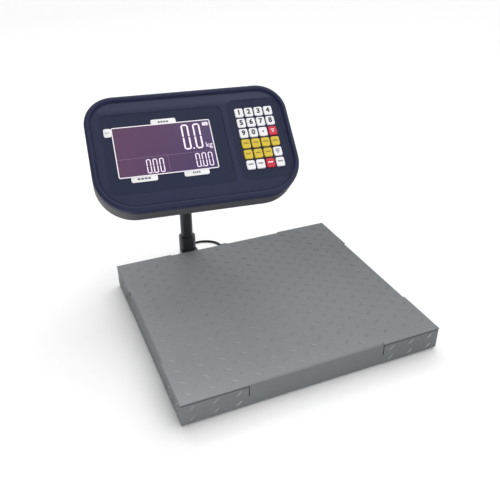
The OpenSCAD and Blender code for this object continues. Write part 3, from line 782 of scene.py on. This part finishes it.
def add_display():
    piece = pad("display_pane", DISPLAY_MID, DISPLAY, -PANEL_D, PANE_TOP, PANE)
    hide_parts("display_window")
    z0, z1 = PANE_TOP - PRINT_SINK, PANE_TOP + PRINT_UP
    border = frame_strip(DISPLAY_MID, DISPLAY, PANE_R, BORDER_W, z0, z1)
    piece = make("display_border", *border, HEAD, HEAD_BODY, LINE_WHITE)
    row = TOP - LINE_DOWN
    along, high = DIVIDER
    lines = merge([bar(LEFT + LINE_INSET, row, DISPLAY[0] - 2 * LINE_INSET, LINE_W, z0, z1 - PRINT_SINK),
                   bar(LEFT + along, row - high, LINE_W, high, z0, z1 - PRINT_SINK)])
    piece = make("display_lines", *lines, HEAD, HEAD_BODY, LINE_MAUVE)
    strokes = []
    for start, low, count, pitch, wide, high, stroke, point, point_w, point_h in READINGS:
        for i in range(count):
            strokes += zero_figure(LEFT + start + i * pitch, TOP - low, wide, high, stroke, z0, z1)
        strokes.append(bar(LEFT + point, TOP - low, point_w, point_h, z0, z1))
    x, low, wide, high = CHARGE_BARS
    strokes += [bar(LEFT + x + k * CHARGE_PITCH, TOP - low, wide, high, z0, z1) for k in range(3)]
    x, low, wide, high = CHARGE_TIP
    strokes.append(bar(LEFT + x, TOP - low, wide, high, z0, z1))
    piece = make("display_figures", *merge(strokes), HEAD, HEAD_BODY, DIGIT_LIT)
    unit_at = (LEFT + UNIT_MID[0], TOP - UNIT_MID[1])
    add_text("display_unit", "kg", UNIT_SIZE, unit_at, z1 - PRINT_SINK, DIGIT_LIT, HEAD_BODY)


TABS = (  # middle x, middle y, width, height, mark length: from the display's top left corner
    (115, 4.5, 55, 14, 24), (-8, -10.5, 16.5, 20, 10), (53, -125, 56, 14, 30), (166, -124.5, 55, 14, 18))
TAB_SINK = 0.05
TAB_TOP = -PANEL_D + 0.75
DASH_H = 4.4
DASH_GAP = 1.5
INK_UP = 0.06


def add_tabs():
    """White label tabs round the display, each with four dashes in place of a word."""
    for i, (x, y, w, h, mark) in enumerate(TABS):
        mid = (LEFT + x, TOP + y)
        pad("label_tab_%d" % (i + 1), mid, (w, h), -PANEL_D - TAB_SINK, TAB_TOP, LABEL_WHITE)
        pitch = mark / 4
        dashes = [bar(mid[0] - mark / 2 + k * pitch, mid[1] - DASH_H / 2, pitch - DASH_GAP, DASH_H,
                      TAB_TOP - TAB_SINK, TAB_TOP + INK_UP) for k in range(4)]
        piece = make("label_mark_%d" % (i + 1), *merge(dashes), HEAD, HEAD_BODY, INK_GREY)


# (grow, z) of a key cap, from its foot inside the shell up to its slightly hollow top
KEY_PROFILE = ((0, -3.4), (0, 0.9), (-0.15, 1.55), (-0.55, 2.0), (-1.2, KEY_UP), (-2.6, KEY_UP - 0.06),
               (-5.5, KEY_UP - 0.14))
FIGURES = "1234567890."
FIGURE_SIZE = 16.5
FIGURE_BOLD = 0.75
FIGURE_RAISE = 0.4
DOT_R = 1.9
INK_Z = KEY_UP - 0.08
RED_KEYS = ((2, 3), (5, 2))
# Bars in place of a key's words: each line's height above the key's middle, and its bars
KEY_LINES = {(4, 3): ((3.2, 3), (-0.6, 3), (-4.4, 2)), (2, 3): ((1.9, 3), (-3.4, 2))}
ONE_LINE = ((-0.6, 4),)
BAR_W = 2.3
BAR_PITCH = 2.9
BAR_START = 0.25
BAR_H = 3.4
LOW_BAR_H = 2.6


def key_finish(row, col):
    """The material, the slot and the ink of a key."""
    if (row, col) in RED_KEYS:
        return KEY_RED, "key_red", LABEL_WHITE
    if row == 3 or (row == 4 and col < 3):
        return KEY_YELLOW, "key_yellow", INK_OCHRE
    return KEY_WHITE, "key_white", INK_DARK if row < 3 else INK_GREY


def add_key(row, col, figure):
    node = "key_r%dc%d" % (row + 1, col + 1)
    mid = key_mid(row, col)
    finish, slot, ink = key_finish(row, col)
    rings = [rounded_rect(mid, KEY_SIZE, KEY_R, grow, 6) for grow, _ in KEY_PROFILE]
    verts, faces = loft(rings, [z for _, z in KEY_PROFILE], True)
    faces.append(tuple(range(len(rings[0]) - 1, -1, -1)))
    piece = make(node + "_cap", verts, faces, HEAD, node, finish, 50)
    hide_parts(node)
    if figure == ".":
        verts, faces = spin([(DOT_R, INK_Z), (DOT_R, INK_Z + INK_UP)], 20)
        verts = [(mid[0] + x, mid[1] + y, z) for x, y, z in verts]
        dot = make(node + "_figure", verts, faces, HEAD, node, ink)
        return
    if figure:
        at = (mid[0], mid[1] + FIGURE_RAISE)
        add_text(node + "_figure", figure, FIGURE_SIZE, at, INK_Z, ink, node, FIGURE_BOLD)
        return
    lines = KEY_LINES.get((row, col), ONE_LINE)
    high = BAR_H if lines is ONE_LINE else LOW_BAR_H
    marks = []
    for y, count in lines:
        marks += [bar(mid[0] + (k - count / 2) * BAR_PITCH + BAR_START, mid[1] + y, BAR_W, high,
                      INK_Z, INK_Z + INK_UP) for k in range(count)]
    piece = make(node + "_mark", *merge(marks), HEAD, node, ink)


def add_keys():
    for row in range(6):
        for col in range(4):
            i = row * 4 + col
            add_key(row, col, FIGURES[i] if i < len(FIGURES) else "")


def add_indicator():
    add_front_shell()
    add_rear_shell()
    add_display()
    add_tabs()
    add_keys()
    softened("battery_cover", 0.8, SHELL_GREY)
    softened("power_switch", 0.5, GLOSS_BLACK)
    softened("power_rocker", 0.6, KEY_RED)
    softened("power_inlet", 0.4, GLOSS_BLACK)


# ------------------------------------------------------------------ stage


FLOOR_REACH = 6.0
WORLD_X = (-0.9, 0.3)
WORLD_STRENGTH = (0.42, 0.85)


def add_stage():
    data = bpy.data.meshes.new("floor")
    reach = FLOOR_REACH
    corners = [(-reach, -reach, 0.0), (reach, -reach, 0.0), (reach, reach, 0.0), (-reach, reach, 0.0)]
    data.from_pydata(corners, [], [(0, 1, 2, 3)])
    floor = bpy.data.objects.new("floor", data)
    bpy.context.collection.objects.link(floor)
    white = bpy.data.materials.new("floor_white")
    white.use_nodes = True
    shader = white.node_tree.nodes["Principled BSDF"]
    shader.inputs["Base Color"].default_value = (0.95, 0.95, 0.95, 1)
    shader.inputs["Roughness"].default_value = 0.9
    data.materials.append(white)


def add_light(name, place, aim, size, power):
    data = bpy.data.lights.new(name, "AREA")
    data.size = size
    data.energy = power
    light = bpy.data.objects.new(name, data)
    bpy.context.collection.objects.link(light)
    light.location = place
    light.rotation_euler = (Vector(aim) - Vector(place)).to_track_quat("-Z", "Y").to_euler()


def add_sun(name, towards, strength, spread):
    data = bpy.data.lights.new(name, "SUN")
    data.energy = strength
    data.angle = math.radians(spread)
    sun = bpy.data.objects.new(name, data)
    bpy.context.collection.objects.link(sun)
    sun.rotation_euler = Vector(towards).to_track_quat("Z", "Y").to_euler()


def add_lights():
    """A pale world, darker on the left, with a soft sun and two broad lamps."""
    world = bpy.data.worlds.new("studio")
    world.use_nodes = True
    nodes, links = world.node_tree.nodes, world.node_tree.links
    place = nodes.new("ShaderNodeTexCoord")
    parts = nodes.new("ShaderNodeSeparateXYZ")
    links.new(place.outputs["Generated"], parts.inputs["Vector"])
    fall = nodes.new("ShaderNodeMapRange")
    for ends, values in (("From", WORLD_X), ("To", WORLD_STRENGTH)):
        fall.inputs[ends + " Min"].default_value, fall.inputs[ends + " Max"].default_value = values
    links.new(parts.outputs["X"], fall.inputs["Value"])
    nodes["Background"].inputs["Color"].default_value = (1, 1, 1, 1)
    links.new(fall.outputs["Result"], nodes["Background"].inputs["Strength"])
    bpy.context.scene.world = world
    add_sun("soft_sun", towards=(0.42, 0.34, 0.85), strength=1.15, spread=60)
    add_light("tread_light", place=(-0.3, 2.0, 2.2), aim=(0.1, -0.1, 0.05), size=0.8, power=13)
    add_light("front_light", place=(1.0, -2.6, 1.3), aim=(0, 0, 0.1), size=1.6, power=11)
    bpy.context.scene.view_settings.view_transform = "Standard"


add_lead()
finish_cad_nodes()
add_platform()
add_pillar()
add_indicator()
add_stage()
add_lights()
bpy.context.view_layer.update()
